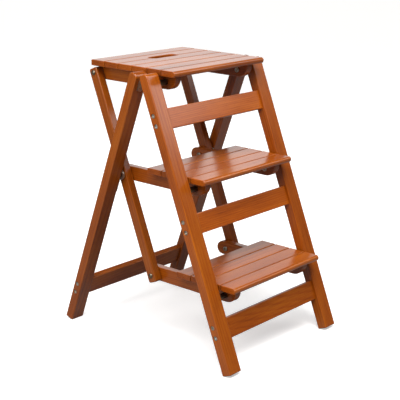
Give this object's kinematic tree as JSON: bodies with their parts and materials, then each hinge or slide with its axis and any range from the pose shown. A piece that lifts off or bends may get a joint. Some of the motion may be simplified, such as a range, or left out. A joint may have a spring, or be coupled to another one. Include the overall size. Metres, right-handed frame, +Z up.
{
  "type": "step ladder",
  "caption": "Folding wooden step ladder with slatted steps, hinged rear legs and parallel rear links, and a hand hole in the top step.",
  "frame": {"origin": "on the floor, at the centre of the box round the open ladder", "axes": "+X across the ladder, to the right for a person climbing it; the climbing side faces -Y; +Z up"},
  "size_m": [0.416, 0.5372, 0.66],
  "materials": {
    "frame_wood": "honey-brown stained hardwood under a satin clear varnish",
    "board_wood": "honey-brown stained hardwood boards under a satin clear varnish",
    "zinc_fasteners": "zinc-plated steel"
  },
  "bodies": {
    "front_frame": {"stile_left": "frame_wood", "stile_right": "frame_wood", "front_rail_bottom": "frame_wood", "front_rail_middle": "frame_wood", "front_rail_top": "frame_wood", "front_rail_bolts": "zinc_fasteners", "front_rail_barrel_nuts": "zinc_fasteners", "front_pivot_bolts": "zinc_fasteners", "front_pivot_sleeves": "zinc_fasteners", "front_pivot_inserts": "zinc_fasteners", "hinge_front_leaves": "zinc_fasteners", "hinge_pins": "zinc_fasteners", "hinge_front_screws": "zinc_fasteners"},
    "rear_frame": {"leg_left": "frame_wood", "leg_right": "frame_wood", "rear_rail": "frame_wood", "rear_rail_bolts": "zinc_fasteners", "rear_rail_barrel_nuts": "zinc_fasteners", "hinge_rear_leaves": "zinc_fasteners", "hinge_rear_screws": "zinc_fasteners", "rest_plates": "zinc_fasteners", "rest_plate_screws": "zinc_fasteners"},
    "rear_links": {"link_left": "frame_wood", "link_right": "frame_wood", "rear_pivot_bolts": "zinc_fasteners", "rear_pivot_washers": "zinc_fasteners", "rear_pivot_nuts": "zinc_fasteners"},
    "bottom_step": {"bottom_bearer_left": "frame_wood", "bottom_bearer_right": "frame_wood", "bottom_board_1": "board_wood", "bottom_board_2": "board_wood", "bottom_board_3": "board_wood", "bottom_board_4": "board_wood", "bottom_board_screws": "zinc_fasteners"},
    "middle_step": {"middle_bearer_left": "frame_wood", "middle_bearer_right": "frame_wood", "middle_board_1": "board_wood", "middle_board_2": "board_wood", "middle_board_3": "board_wood", "middle_board_4": "board_wood", "middle_board_screws": "zinc_fasteners"},
    "top_step": {"top_bearer_left": "frame_wood", "top_bearer_right": "frame_wood", "top_board_1": "board_wood", "top_board_2": "board_wood", "top_board_3": "board_wood", "top_board_4": "board_wood", "top_board_5": "board_wood", "top_board_6": "board_wood", "top_board_screws": "zinc_fasteners"}
  },
  "joints": [
    {"name": "top_step_fold", "type": "hinge", "parent": "front_frame", "child": "top_step", "pos_m": [0, -0.00518, 0.629], "axis": [1, 0, 0], "range_deg": [0, 55]},
    {"name": "middle_step_fold", "type": "hinge", "parent": "front_frame", "child": "middle_step", "pos_m": [0, -0.09932, 0.396], "axis": [1, 0, 0], "range_deg": [0, 55]},
    {"name": "bottom_step_fold", "type": "hinge", "parent": "front_frame", "child": "bottom_step", "pos_m": [0, -0.19346, 0.163], "axis": [1, 0, 0], "range_deg": [0, 55]},
    {"name": "link_pivot", "type": "hinge", "parent": "top_step", "child": "rear_links", "pos_m": [0, 0.20621, 0.629], "axis": [1, 0, 0], "range_deg": [-55, 0]},
    {"name": "rear_leg_hinge", "type": "hinge", "parent": "front_frame", "child": "rear_frame", "pos_m": [0, 0.01807, 0.6425], "axis": [1, 0, 0], "range_deg": [-41.31, 0]}
  ],
  "couplings": [
    {"joint": "middle_step_fold", "follows": "top_step_fold", "ratio": 1},
    {"joint": "bottom_step_fold", "follows": "top_step_fold", "ratio": 1},
    {"joint": "link_pivot", "follows": "top_step_fold", "ratio": -1},
    {"joint": "rear_leg_hinge", "follows": "top_step_fold", "ratio": -0.75091}
  ]
}
